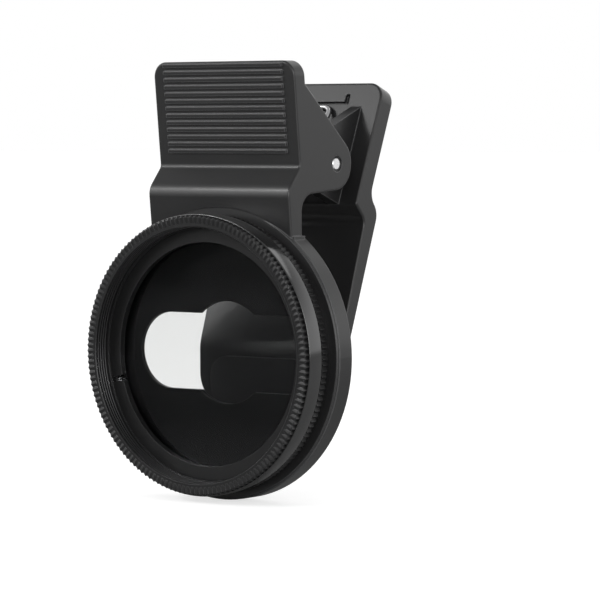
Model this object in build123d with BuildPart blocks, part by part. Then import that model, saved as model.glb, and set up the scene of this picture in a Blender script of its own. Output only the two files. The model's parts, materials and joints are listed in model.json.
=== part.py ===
from build123d import *
from math import acos, atan2, cos, hypot, pi, radians, sin, sqrt, tan
import os

# A rotating polarizing filter in a sprung clip that pinches the edge of a flat device.
# Millimetres. +Z is up, the filter faces -Y and the optical axis is the Y axis.
# The origin lies on that axis, in the plane that the front pad presses on,
# so "forward" values are distances towards the viewer, along -Y, from that plane.

# Fits
running_fit = 0.05
seat_gap = 0.05
press_gap = 0.01
side_clearance = 0.45
overlap = 0.5

# Edge rounding of the two mouldings
moulded_edge = 0.3

# Overall radius of the filter; its other radii step in from it
ring_radius = 20.0

# Front jaw, the disc that carries the filter
holder_margin = 1.1
holder_front = 3.5
holder_back = 0.1
rim_step = 0.15
rim_step_depth = 0.45
holder_edge = 0.2
socket_depth = 2.1
window_end_margin = 1.3
window_height = 11.1
window_eye_radius = 7.4

# Front jaw, the arm and the grip plate above the disc
clip_width = 25.6
arm_front_at_rim = 3.25
arm_thickness = 2.6
arm_root = 1.3
foot_overhang = 0.45
foot_root = 0.6
foot_height = 0.8
lean = 5.6
arm_height = 6.68
bend_rise = 3.2
bend_radius = 2.4
step_radius = 0.9
bend_setback = 2.8
grip_height = 15.1
grip_thickness = 2.4
grip_corner = 2.2
grip_edge = 0.3
rib_count = 13
rib_pitch = 1.03
rib_width = 0.52
rib_height = 0.35
rib_top_margin = 0.55
rib_side_margin = 2.05

# Pivot, and the two cheeks of the front jaw that hold it
pivot_setback = 7.7
pivot_rise = 0.346
cheek_radius = 3.85
boss_forward = 0.3
cheek_thickness = 2.75
cheek_below_top = 2.6
cheek_below_pivot = 4.4
cheek_fillet = 2.6
pin_radius = 0.9
pin_recess = 0.15
pin_chamfer = 0.15
pin_counterbore = 1.15
pin_counterbore_depth = 0.35

# Rear jaw
lever_lean = 22.2
lever_offset = 6.45
lever_thickness = 3.0
lever_above_pivot = 11.65
lever_below_pivot = 5.9
lever_corner = 2.6
lever_edge = 0.45
knee_setback = 2.15
knee_drop = 2.45
knee_rise = 1.1
knee_radius = 1.8
knuckle_radius = 2.5
arm_lean = 19.0
rear_arm_thickness = 2.8
tip_thickness = 2.2
tip_bottom = -9.0
tip_corner = 5.0
tip_bend_radius = 6.0
ear_radius = 3.9
ear_thickness = 1.9
ear_above_pivot = 8.4
ear_below_pivot = 6.1
pocket_margin = 0.5
pocket_above_pivot = 8.9
pocket_length = 12.0
pocket_depth = 0.6
notch_width = 0.9
notch_height = 1.2

# Pads
jaw_opening = 7.1
front_pad_thickness = 0.8
front_pad_margin = 1.0
front_pad_window_clearance = 0.6
rear_pad_thickness = 1.0
rear_pad_side_margin = 2.8
rear_pad_height = 7.2
rear_pad_tip_margin = 0.5
rear_pad_corner = 3.0

# Torsion spring, two coils joined by a bridge
wire_radius = 0.4
coil_radius = 2.3
coil_pitch = 0.86
coil_full_turns = 2
bridge_side_room = 3.7
bridge_corner = 1.3
bridge_below_ledge = 0.8
front_leg_below_top = 5.25

# Filter, the mount ring that screws into the holder
knurl_teeth = 150
knurl_depth = 0.3
neck_length = 1.05
neck_inset = 0.5
flange_length = 1.05
male_thread_length = 1.9
male_thread_inset = 1.6
spigot_wall = 1.2
mount_floor = 0.5
skirt_inset = 1.1

# Filter, the rotating ring and what it holds
ring_gap = 0.4
ring_length = 3.5
knurl_length = 1.3
face_chamfer = 0.1
band_step = 0.15
thread_bore_inset = 1.7
thread_bore_length = 2.75
seat_step = 0.2
retainer_thickness = 1.0
retainer_width = 2.0
retainer_gap = 0.8
retainer_gap_angle = 194.0
glass_lip = 0.2
glass_thickness = 0.55
film_thickness = 0.1
glass_pocket_clearance = 0.1
skirt_clearance = 0.1
shoulder_width = 1.0
shoulder_thickness = 0.4

# Wire ring that keeps the rotating ring on the mount ring
snap_wire = 0.4
snap_bite = 0.12
snap_forward_of_neck = 0.5
snap_groove_margin = 0.15
snap_groove_depth = 0.35
snap_gap_angle = 12.0

# Planes of the filter, as forward values
neck_front = holder_front + neck_length
flange_front = neck_front + flange_length
ring_back = flange_front + ring_gap
ring_front = ring_back + ring_length
knurl_front = ring_front - face_chamfer
mount_bore_floor = holder_front + mount_floor
skirt_end = mount_bore_floor + skirt_clearance
glass_back = skirt_end + shoulder_thickness
glass_front = glass_back + 2 * glass_thickness + film_thickness
thread_bore_end = ring_front - thread_bore_length
snap_forward = neck_front + snap_forward_of_neck

# Radii of the filter and of the disc that carries it
holder_radius = ring_radius + holder_margin
neck_radius = ring_radius - neck_inset
male_thread_radius = ring_radius - male_thread_inset
socket_radius = male_thread_radius + seat_gap
throat_radius = male_thread_radius - spigot_wall
window_length = 2 * (throat_radius - window_end_margin)
skirt_radius = ring_radius - skirt_inset
mount_bore_radius = skirt_radius + running_fit
snap_inner_radius = skirt_radius - snap_bite
thread_bore_radius = ring_radius - thread_bore_inset
seat_radius = thread_bore_radius - seat_step
retainer_radius = seat_radius - seat_gap
retainer_inner_radius = retainer_radius - retainer_width
glass_pocket_radius = seat_radius - glass_lip
glass_radius = glass_pocket_radius - glass_pocket_clearance
shoulder_radius = glass_radius - shoulder_width

# Heights of the clip above the optical axis
half_width = clip_width / 2
rim_height = sqrt(holder_radius**2 - half_width**2)
arm_bottom = rim_height - arm_root
foot_bottom = rim_height - foot_root
bend_low = rim_height + arm_height
bend_high = bend_low + bend_rise
grip_top = bend_high + grip_height
pivot_height = bend_high + pivot_rise
cheek_top = grip_top - cheek_below_top
cheek_root = pivot_height - cheek_below_pivot
lever_top = pivot_height + lever_above_pivot
lever_foot = pivot_height - lever_below_pivot
ear_top = pivot_height + ear_above_pivot
ear_bottom = pivot_height - ear_below_pivot
pocket_top = pivot_height + pocket_above_pivot
front_leg_height = grip_top - front_leg_below_top

# Lines of the clip, seen from the side
lean_slope = tan(radians(lean))
lean_cos = cos(radians(lean))
lean_sin = sin(radians(lean))
arm_back = arm_front_at_rim - arm_thickness
grip_depth = grip_thickness / lean_cos
bend_back_drop = grip_thickness * tan(atan2(bend_setback, bend_rise) / 2)
lever_slope = tan(radians(lever_lean))
lever_cos = cos(radians(lever_lean))
lever_sin = sin(radians(lever_lean))
arm_slope = tan(radians(arm_lean))
pad_plane = jaw_opening + rear_pad_thickness
ear_outer = half_width - cheek_thickness - side_clearance
ear_inner = ear_outer - ear_thickness
pocket_half_width = ear_inner - pocket_margin
bridge_half_width = ear_inner - bridge_side_room


def arm_front_y(z):
    """Front of the leaning arm at height z."""
    return -arm_front_at_rim - (z - rim_height) * lean_slope


def grip_front_y(z):
    """Front of the grip plate at height z, set back from the arm by the bend."""
    return arm_front_y(bend_low) + bend_setback - (z - bend_high) * lean_slope


def lever_y(z, depth=0):
    """Inner face of the rear lever at height z, or a plane that deep behind it."""
    return pivot_setback + (lever_offset + depth) / lever_cos + (z - pivot_height) * lever_slope


def lever_place(down, depth):
    """Point (y, z) on the rear lever, that far below the pocket's ledge and behind its face."""
    y = lever_y(pocket_top) - down * lever_sin + depth * lever_cos
    z = pocket_top - down * lever_cos - depth * lever_sin
    return y, z


def toothed_outline(crest_radius):
    """Points of a straight knurl: crest and root in turn, all round the ring."""
    step = pi / knurl_teeth
    radii = (crest_radius, crest_radius - knurl_depth)
    return [
        (radii[i % 2] * cos(i * step), radii[i % 2] * sin(i * step))
        for i in range(2 * knurl_teeth)
    ]


def window_outline(clearance, mode=Mode.ADD):
    """Slot and round eye in the plate behind the filter, in the open sketch."""
    SlotOverall(window_length + 2 * clearance, window_height + 2 * clearance, mode=mode)
    Circle(window_eye_radius + clearance, mode=mode)


os.makedirs("parts", exist_ok=True)

# The front jaw: grip plate, bend, arm and disc are one moulding with its two cheeks.
spine_front = [
    (grip_front_y(grip_top), grip_top),
    (grip_front_y(bend_high), bend_high),
    (arm_front_y(bend_low), bend_low),
    (arm_front_y(arm_bottom), arm_bottom),
]
spine_back = [
    (-arm_back, arm_bottom),
    (-arm_back, bend_low - bend_back_drop),
    (grip_front_y(bend_high) + grip_depth, bend_high - bend_back_drop),
    (grip_front_y(grip_top) + grip_depth, grip_top),
]
with BuildPart() as front_jaw:
    with BuildSketch(Plane.YZ) as spine:
        with BuildLine():
            Polyline(*spine_front, *spine_back, close=True)
        make_face()
        fillet(spine.vertices().sort_by_distance(spine_front[1])[0], step_radius)
        fillet(spine.vertices().sort_by_distance(spine_front[2])[0], bend_radius)
        fillet(spine.vertices().sort_by_distance(spine_back[1])[0], step_radius)
        fillet(spine.vertices().sort_by_distance(spine_back[2])[0], step_radius)
    extrude(amount=half_width, both=True)
    fillet(front_jaw.edges().filter_by(Axis.Y).group_by(Axis.Z)[-1], grip_corner)
    front_faces = front_jaw.faces().filter_by(lambda face: face.normal_at().Y < -lean_sin)
    rim_edges = front_faces.edges().filter_by(
        lambda edge: abs(edge.center().X) > half_width - grip_corner
        or edge.center().Z > grip_top - overlap
    )
    fillet(rim_edges, grip_edge)

    # Cheeks, each the hull of the pivot boss and the plate it grows from
    for inner in (-half_width, half_width - cheek_thickness):
        with BuildSketch(Plane.YZ.offset(inner)) as cheek:
            with BuildLine():
                CenterArc((pivot_setback - boss_forward, pivot_height), cheek_radius, 0, 360)
                Line(
                    (grip_front_y(cheek_top) + grip_depth - overlap, cheek_top),
                    (-arm_back - overlap, cheek_root),
                )
            make_hull()
            with Locations((-arm_back, cheek_root)):
                Rectangle(arm_thickness / 2, 2 * cheek_fillet, align=(Align.MAX, Align.CENTER))
            fillet(cheek.vertices().sort_by_distance((-arm_back, cheek_root))[0], cheek_fillet)
        extrude(amount=cheek_thickness)
    boss_edges = front_jaw.edges().filter_by(
        lambda edge: abs(abs(edge.center().X) - half_width) < press_gap
        and edge.center().Y > pivot_setback
    )
    fillet(boss_edges, moulded_edge)

    # Grip ribs
    rib_middle = grip_top - rib_top_margin - rib_pitch * (rib_count - 1) / 2 * lean_cos
    rib_plane = Plane(
        origin=(0, grip_front_y(rib_middle), rib_middle),
        x_dir=(1, 0, 0),
        z_dir=(0, -lean_cos, -lean_sin),
    )
    with BuildSketch(rib_plane.offset(-overlap)):
        with GridLocations(0, rib_pitch, 1, rib_count):
            Rectangle(clip_width - 2 * rib_side_margin, rib_width)
    extrude(amount=overlap + rib_height)

    # Disc with its stepped rim, and the foot on which the arm stands
    with BuildSketch():
        with BuildLine():
            Polyline(
                (0, -holder_back),
                (holder_radius - holder_edge, -holder_back),
                (holder_radius, -holder_back - holder_edge),
                (holder_radius, rim_step_depth - holder_front),
                (holder_radius - rim_step, rim_step_depth - holder_front),
                (holder_radius - rim_step, rim_step - holder_front),
                (holder_radius - 2 * rim_step, -holder_front),
                (0, -holder_front),
                close=True,
            )
        make_face()
    revolve(axis=Axis.Y)
    with BuildSketch(Plane.XZ.offset(arm_back)):
        with Locations((0, foot_bottom)):
            Rectangle(clip_width + 2 * foot_overhang, foot_height, align=(Align.CENTER, Align.MIN))
    extrude(amount=holder_front - rim_step_depth - arm_back)

    # Clear the face round the filter, then sink the threaded socket, the pad's seat and the window
    with BuildSketch(Plane.XZ.offset(holder_front)):
        Circle(holder_radius - rim_step)
    extrude(amount=arm_thickness, mode=Mode.SUBTRACT)
    with BuildSketch(Plane.XZ.offset(holder_front)):
        Circle(socket_radius)
    extrude(amount=-socket_depth, mode=Mode.SUBTRACT)
    with BuildSketch(Plane.XZ):
        Circle(holder_radius - front_pad_margin)
    extrude(amount=front_pad_thickness, mode=Mode.SUBTRACT)
    with BuildSketch(Plane.XZ):
        window_outline(0)
    extrude(amount=holder_front, mode=Mode.SUBTRACT)

    # Pin holes through both cheeks, with a counterbore on the outside
    pivot_plane = Plane(origin=(0, pivot_setback, pivot_height), x_dir=(0, 1, 0), z_dir=(1, 0, 0))
    with BuildSketch(pivot_plane):
        Circle(pin_radius + press_gap)
    extrude(amount=half_width, both=True, mode=Mode.SUBTRACT)
    for side in (-1, 1):
        with BuildSketch(pivot_plane.offset(side * half_width)):
            Circle(pin_counterbore)
        extrude(amount=-side * pin_counterbore_depth, mode=Mode.SUBTRACT)
front_jaw.part.label = "front_jaw"
export_step(front_jaw.part, "parts/front_jaw.step")


# The rear jaw: lever, knee and lower arm in one strip, with two ears that reach the pivot.
lever_foot_point = (lever_y(lever_foot), lever_foot)
knee_point = (lever_foot_point[0] + knee_setback, lever_foot - knee_drop)
tip_bend = knee_point[1] - (knee_point[0] - pad_plane) / arm_slope
knuckle_height = knee_point[1] + knee_rise
knuckle_point = (
    knee_point[0] + knee_rise * arm_slope + rear_arm_thickness / cos(radians(arm_lean)),
    knuckle_height,
)
lever_back_foot = (lever_y(lever_foot + knee_rise, lever_thickness), lever_foot + knee_rise)
lever_top_point = (lever_y(lever_top), lever_top)
lever_top_back = (
    lever_top_point[0] + lever_thickness * lever_cos,
    lever_top - lever_thickness * lever_sin,
)
with BuildPart() as rear_jaw:
    with BuildSketch(Plane.YZ) as strip:
        with BuildLine():
            Polyline(
                lever_top_point,
                lever_foot_point,
                knee_point,
                (pad_plane, tip_bend),
                (pad_plane, tip_bottom),
                (pad_plane + tip_thickness, tip_bottom),
                (pad_plane + tip_thickness, tip_bend),
                knuckle_point,
                lever_back_foot,
                lever_top_back,
                close=True,
            )
        make_face()
        fillet(strip.vertices().sort_by_distance(lever_foot_point)[0], lever_edge)
        fillet(strip.vertices().sort_by_distance(knee_point)[0], knee_radius)
        fillet(strip.vertices().sort_by_distance((pad_plane, tip_bend))[0], tip_bend_radius)
        fillet(
            strip.vertices().sort_by_distance((pad_plane + tip_thickness, tip_bend))[0],
            tip_bend_radius + tip_thickness,
        )
        fillet(strip.vertices().sort_by_distance(knuckle_point)[0], knuckle_radius)
        fillet(strip.vertices().sort_by_distance(lever_back_foot)[0], knuckle_radius)
    extrude(amount=half_width, both=True)
    side_edges = rear_jaw.edges().filter_by(
        lambda edge: abs(abs(edge.center().X) - half_width) < press_gap
    )
    fillet(side_edges.group_by(Axis.Z)[0], tip_corner)
    fillet(side_edges.sort_by(Axis.Z)[-2:], lever_corner)
    fillet(rear_jaw.edges().filter_by(Axis.X).group_by(Axis.Z)[0], moulded_edge)

    # Ears
    for inner in (-ear_outer, ear_inner):
        with BuildSketch(Plane.YZ.offset(inner)):
            with BuildLine():
                CenterArc((pivot_setback, pivot_height), ear_radius, 0, 360)
                Line((lever_y(ear_top, overlap), ear_top), (lever_y(ear_bottom, overlap), ear_bottom))
            make_hull()
        extrude(amount=ear_thickness)
    with BuildSketch(pivot_plane):
        Circle(pin_radius + running_fit)
    extrude(amount=half_width, both=True, mode=Mode.SUBTRACT)

    # Pocket where the spring's bridge bears, with a notch at each end of its ledge
    lever_plane = Plane(
        origin=(0, lever_y(pocket_top), pocket_top),
        x_dir=(1, 0, 0),
        z_dir=(0, -lever_cos, lever_sin),
    )
    with BuildSketch(lever_plane):
        Rectangle(2 * pocket_half_width, pocket_length, align=(Align.CENTER, Align.MAX))
        with GridLocations(2 * pocket_half_width - notch_width, 0, 2, 1):
            SlotCenterToCenter(2 * (notch_height - notch_width / 2), notch_width, rotation=90)
    extrude(amount=-pocket_depth, mode=Mode.SUBTRACT)
rear_jaw.part.label = "rear_jaw"
export_step(rear_jaw.part, "parts/rear_jaw.step")


# Steel pin, pressed into the cheeks and free in the ears
with BuildPart() as pivot_pin:
    with BuildSketch(pivot_plane):
        Circle(pin_radius)
    extrude(amount=half_width - pin_recess, both=True)
    chamfer(pivot_pin.edges().filter_by(GeomType.CIRCLE), pin_chamfer)
pivot_pin.part.label = "pivot_pin"
export_step(pivot_pin.part, "parts/pivot_pin.step")


# Double torsion spring: each coil runs from a leg on the grip plate to the bridge on the lever
bridge_y, bridge_z = lever_place(bridge_below_ledge, pocket_depth - wire_radius - press_gap)
bridge_reach = hypot(bridge_y - pivot_setback, bridge_z - pivot_height)
bridge_bearing = atan2(bridge_z - pivot_height, bridge_y - pivot_setback)
coil_start = bridge_bearing - acos(coil_radius / bridge_reach)
tip_y = grip_front_y(front_leg_height) + grip_depth + wire_radius / lean_cos + press_gap
tip_reach = hypot(tip_y - pivot_setback, front_leg_height - pivot_height)
tip_bearing = atan2(front_leg_height - pivot_height, tip_y - pivot_setback)
coil_end = tip_bearing + acos(coil_radius / tip_reach)
coil_turns = coil_full_turns + (coil_start + 2 * pi - coil_end) / (2 * pi)
coil_rise = coil_pitch / (2 * pi * coil_radius)
rear_leg_length = sqrt(bridge_reach**2 - coil_radius**2)
front_leg_length = sqrt(tip_reach**2 - coil_radius**2)
coil_inner_x = bridge_half_width + rear_leg_length * coil_rise
coil_outer_x = coil_inner_x + coil_turns * coil_pitch
coil_plane = Plane(
    origin=(coil_inner_x, pivot_setback, pivot_height),
    x_dir=(0, cos(coil_start), sin(coil_start)),
    z_dir=(1, 0, 0),
)


def coil_point(x, bearing):
    """Centre of the wire on the coil, at that distance along the pin and bearing about it."""
    return (
        x,
        pivot_setback + coil_radius * cos(bearing),
        pivot_height + coil_radius * sin(bearing),
    )


with BuildPart() as torsion_spring:
    with BuildLine() as wire:
        FilletPolyline(
            (0, bridge_y, bridge_z),
            (bridge_half_width, bridge_y, bridge_z),
            coil_point(coil_inner_x, coil_start),
            radius=bridge_corner,
        )
        turns = Helix(
            coil_pitch, coil_turns * coil_pitch, coil_radius, lefthand=True, mode=Mode.PRIVATE
        )
        add(turns.moved(coil_plane.location))
        Line(
            coil_point(coil_outer_x, coil_end),
            (coil_outer_x + front_leg_length * coil_rise, tip_y, front_leg_height),
        )
    with BuildSketch(Plane.YZ):
        with Locations((bridge_y, bridge_z)):
            Circle(wire_radius)
    sweep(path=wire.wires()[0], is_frenet=True)
    mirror(about=Plane.YZ)
torsion_spring.part.label = "torsion_spring"
export_step(torsion_spring.part, "parts/torsion_spring.step")


# Mount ring: a threaded spigot, a neck that seats on the holder and a knurled flange
with BuildPart() as filter_mount_ring:
    with BuildSketch():
        with BuildLine():
            Polyline(
                (throat_radius, male_thread_length - holder_front),
                (male_thread_radius, male_thread_length - holder_front),
                (male_thread_radius, -holder_front),
                (neck_radius, -holder_front),
                (neck_radius, -neck_front - overlap),
                (mount_bore_radius, -neck_front - overlap),
                (mount_bore_radius, -mount_bore_floor),
                (throat_radius, -mount_bore_floor),
                close=True,
            )
        make_face()
    revolve(axis=Axis.Y)
    with BuildSketch(Plane.XZ.offset(neck_front)):
        with BuildLine():
            Polyline(*toothed_outline(ring_radius), close=True)
        make_face()
        Circle(mount_bore_radius, mode=Mode.SUBTRACT)
    extrude(amount=flange_length)
    with BuildSketch():
        with Locations((mount_bore_radius, -snap_forward)):
            Rectangle(2 * snap_groove_depth, snap_wire + snap_groove_margin)
    revolve(axis=Axis.Y, mode=Mode.SUBTRACT)
filter_mount_ring.part.label = "filter_mount_ring"
export_step(filter_mount_ring.part, "parts/filter_mount_ring.step")


# Snap ring, an open ring of flat wire in the groove between the two filter rings
with BuildPart() as snap_ring:
    with BuildSketch():
        with Locations((snap_inner_radius, -snap_forward)):
            Rectangle(snap_wire, snap_wire, align=(Align.MIN, Align.CENTER))
    revolve(axis=Axis.Y, revolution_arc=360 - snap_gap_angle)
snap_ring.part.label = "snap_ring"
export_step(snap_ring.part, "parts/snap_ring.step")


# Rotating ring: knurl and plain band outside, accessory thread, glass pocket and skirt inside
with BuildPart() as rotating_ring:
    with BuildSketch():
        with BuildLine():
            Polyline(
                (thread_bore_radius + face_chamfer, -ring_front),
                (thread_bore_radius, face_chamfer - ring_front),
                (thread_bore_radius, -thread_bore_end),
                (seat_radius, -thread_bore_end),
                (seat_radius, -glass_front),
                (glass_pocket_radius, -glass_front),
                (glass_pocket_radius, -glass_back),
                (shoulder_radius, -glass_back),
                (shoulder_radius, -skirt_end),
                (skirt_radius, -skirt_end),
                (skirt_radius, -ring_back),
                (ring_radius - band_step, -ring_back),
                (ring_radius - band_step, knurl_length - knurl_front),
                (ring_radius - knurl_depth, knurl_length - knurl_front),
                (ring_radius - knurl_depth, -knurl_front),
                (ring_radius - knurl_depth - face_chamfer, -ring_front),
                close=True,
            )
        make_face()
    revolve(axis=Axis.Y)
    with BuildSketch(Plane.XZ.offset(knurl_front)):
        with BuildLine():
            Polyline(*toothed_outline(ring_radius), close=True)
        make_face()
        Circle(ring_radius - 2 * knurl_depth, mode=Mode.SUBTRACT)
    extrude(amount=-knurl_length)
    with BuildSketch():
        with Locations((skirt_radius, -snap_forward)):
            Rectangle(2 * snap_groove_depth, snap_wire + 2 * snap_groove_margin)
    revolve(axis=Axis.Y, mode=Mode.SUBTRACT)
rotating_ring.part.label = "rotating_ring"
export_step(rotating_ring.part, "parts/rotating_ring.step")


# Sprung retaining ring in front of the glass, open at one place
with BuildPart() as glass_retaining_ring:
    with BuildSketch(Plane.XZ.offset(glass_front)):
        Circle(retainer_radius)
        Circle(retainer_inner_radius, mode=Mode.SUBTRACT)
        with Locations(Location((0, 0), retainer_gap_angle)):
            Rectangle(
                2 * retainer_radius, retainer_gap, align=(Align.MIN, Align.CENTER), mode=Mode.SUBTRACT
            )
    extrude(amount=retainer_thickness)
glass_retaining_ring.part.label = "glass_retaining_ring"
export_step(glass_retaining_ring.part, "parts/glass_retaining_ring.step")


# Cemented sandwich: polarizing foil between two discs of glass
film_back = glass_back + glass_thickness
film_front = film_back + film_thickness
with BuildPart() as rear_glass:
    with BuildSketch(Plane.XZ.offset(glass_back)):
        Circle(glass_radius)
    extrude(amount=glass_thickness)
rear_glass.part.label = "rear_glass"
export_step(rear_glass.part, "parts/rear_glass.step")

with BuildPart() as polarizing_film:
    with BuildSketch(Plane.XZ.offset(film_back)):
        Circle(glass_radius - glass_pocket_clearance)
    extrude(amount=film_thickness)
polarizing_film.part.label = "polarizing_film"
export_step(polarizing_film.part, "parts/polarizing_film.step")

with BuildPart() as front_glass:
    with BuildSketch(Plane.XZ.offset(film_front)):
        Circle(glass_radius)
    extrude(amount=glass_thickness)
front_glass.part.label = "front_glass"
export_step(front_glass.part, "parts/front_glass.step")


# Soft pads that take the grip, one behind the disc and one on the tip of the rear jaw
with BuildPart() as front_pad:
    with BuildSketch(Plane.XZ):
        Circle(holder_radius - front_pad_margin - seat_gap)
        window_outline(front_pad_window_clearance, Mode.SUBTRACT)
    extrude(amount=front_pad_thickness)
front_pad.part.label = "front_pad"
export_step(front_pad.part, "parts/front_pad.step")

with BuildPart() as rear_pad:
    pad_middle = tip_bottom + rear_pad_tip_margin + rear_pad_height / 2
    with BuildSketch(Plane.XZ.offset(-pad_plane)):
        with Locations((0, pad_middle)):
            RectangleRounded(
                clip_width - 2 * rear_pad_side_margin, rear_pad_height, rear_pad_corner
            )
    extrude(amount=rear_pad_thickness)
rear_pad.part.label = "rear_pad"
export_step(rear_pad.part, "parts/rear_pad.step")
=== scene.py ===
import json
from math import acos, atan2, cos, hypot, pi, radians, sin, sqrt, tan

import bmesh
import bpy
from bpy.props import FloatProperty, FloatVectorProperty, IntProperty, PointerProperty
from mathutils import Matrix, Vector

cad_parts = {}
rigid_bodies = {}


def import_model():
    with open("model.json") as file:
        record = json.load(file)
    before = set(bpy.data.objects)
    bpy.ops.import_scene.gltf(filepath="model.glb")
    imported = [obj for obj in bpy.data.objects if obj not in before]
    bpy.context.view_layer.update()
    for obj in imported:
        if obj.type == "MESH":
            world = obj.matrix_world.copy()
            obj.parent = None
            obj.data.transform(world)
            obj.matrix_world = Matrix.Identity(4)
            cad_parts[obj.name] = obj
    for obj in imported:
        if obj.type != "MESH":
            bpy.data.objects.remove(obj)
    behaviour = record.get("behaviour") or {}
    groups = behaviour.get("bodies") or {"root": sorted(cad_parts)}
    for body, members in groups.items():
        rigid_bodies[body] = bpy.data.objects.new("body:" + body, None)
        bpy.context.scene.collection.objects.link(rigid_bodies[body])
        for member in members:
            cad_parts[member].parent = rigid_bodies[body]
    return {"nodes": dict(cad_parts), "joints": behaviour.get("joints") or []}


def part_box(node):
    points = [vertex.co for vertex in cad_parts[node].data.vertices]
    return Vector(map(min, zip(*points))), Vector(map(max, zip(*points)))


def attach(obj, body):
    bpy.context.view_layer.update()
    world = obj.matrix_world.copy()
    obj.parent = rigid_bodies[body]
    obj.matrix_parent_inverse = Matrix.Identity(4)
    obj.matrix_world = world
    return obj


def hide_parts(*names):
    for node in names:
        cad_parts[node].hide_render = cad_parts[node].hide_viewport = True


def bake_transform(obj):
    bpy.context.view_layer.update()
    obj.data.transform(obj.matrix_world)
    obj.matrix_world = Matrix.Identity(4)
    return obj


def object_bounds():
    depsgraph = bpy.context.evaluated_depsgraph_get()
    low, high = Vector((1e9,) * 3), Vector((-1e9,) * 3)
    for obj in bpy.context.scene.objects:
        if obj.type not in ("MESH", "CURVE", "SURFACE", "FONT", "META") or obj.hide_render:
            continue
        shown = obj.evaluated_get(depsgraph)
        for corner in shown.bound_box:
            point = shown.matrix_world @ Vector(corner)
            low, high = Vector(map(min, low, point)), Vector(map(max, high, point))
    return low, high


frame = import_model()
CAD_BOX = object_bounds()

bl_info = {
    "name": "Clip-on polarizing filter",
    "version": (1, 0, 0),
    "blender": (4, 5, 0),
    "location": "View3D > Sidebar > Clip filter",
    "description": "Finishes for a rotating polarizing filter in a sprung clip",
    "category": "Object",
}

MM = 0.001
HINGE = next(joint for joint in frame["joints"] if joint["name"] == "clip_hinge")
PIVOT = Vector(HINGE["pos_m"])
CLIP, LEVER, CELL = HINGE["parent"], HINGE["child"], "filter_cell"

# Metres below which two points of a mesh count as one
MERGE_DISTANCE = 1e-7

# Rounding of sharp edges that only the shading shows, and how far the rounded normal agrees
# with the flat one where the painted highlight on an edge begins and where it is at full strength
MOULDED_EDGE = 0.24 * MM
TURNED_EDGE = 0.06 * MM
EDGE_AGREEMENT = (0.995, 0.86)

# Tooth on the front edge of the rotating ring: shares of the run-out and of the ridge along its
# crest, from the inner end outwards, then the crest's outer end and the two foot lines
TOOTH_PROFILE = ((1.0, 0.0), (0.65, 0.85), (0.25, 1.0))
TOOTH_END_INSET, TOOTH_END_DROP = 0.01 * MM, 0.12 * MM
TOOTH_FOOT_INSET, TOOTH_SINK = 0.3 * MM, 0.01 * MM

# Plain band: how deep it sits in the ring, and its polish
BAND_DEPTH = 0.34 * MM
BAND_ROUGHNESS, BAND_IOR = 0.12, 2.1

# How far behind the front of the rotating ring the accessory thread begins
THREAD_START = 0.3 * MM

# Rounded edges of the discs, and what each is thinner by, so that they stay apart
GLASS_EDGE, FOIL_EDGE = 0.08 * MM, 0.01 * MM
GLUE_GAP = 0.024 * MM

# Spring: sides of the wire, degrees between points of a coil, and steps along the other stretches
WIRE_SIDES = 14
COIL_STEP = 8
CORNER_STEPS, RUN_STEPS, LEG_STEPS = 8, 10, 8

# Camera, fitted to the photograph: metres, degrees, and the sensor's width in millimetres
CAMERA_TARGET = Vector((18.8284, -9.3, 8.4596)) * MM
CAMERA_DISTANCE = 477.1169 * MM
CAMERA_AZIMUTH, CAMERA_ELEVATION, CAMERA_ROLL = 37.1726, 3.2192, -0.3746
SENSOR_WIDTH = 36

# Level direction away from the side of the room that the glass mirrors to the camera. Along it,
# the wall and the floor that gloss mirrors change between these two values, and the wall turns
# into the ceiling between these two heights of the direction
AWAY = (0.6, 0.8)
DARK_SIDE_END = (-0.92, -0.6)
DIM_FLOOR_END = (-0.13, 0.02)
CEILING_START = (0.25, 0.75)

# Floor: metres from its middle to its sides
FLOOR_REACH = 3.0
FLOOR_COLOUR = (0.5, 0.5, 0.5)

# Lights: name, place, width and height in metres, and what they are turned to
SOFT_BOXES = (
    ("key_light", (-0.37, -0.37, 0.22), 0.36, 0.35),
    ("strip_light", (-0.28, -0.43, 0.31), 0.2, 0.03),
    ("rim_light", (0.05, 0.35, 0.50), 0.4, 0.3),
    ("fill_light", (0.41, -0.40, 0.12), 0.41, 0.3),
)
LIGHTS_AIM = Vector((0, 0, 10 * MM))


# Sizes, colours and lights that a user would change


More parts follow.
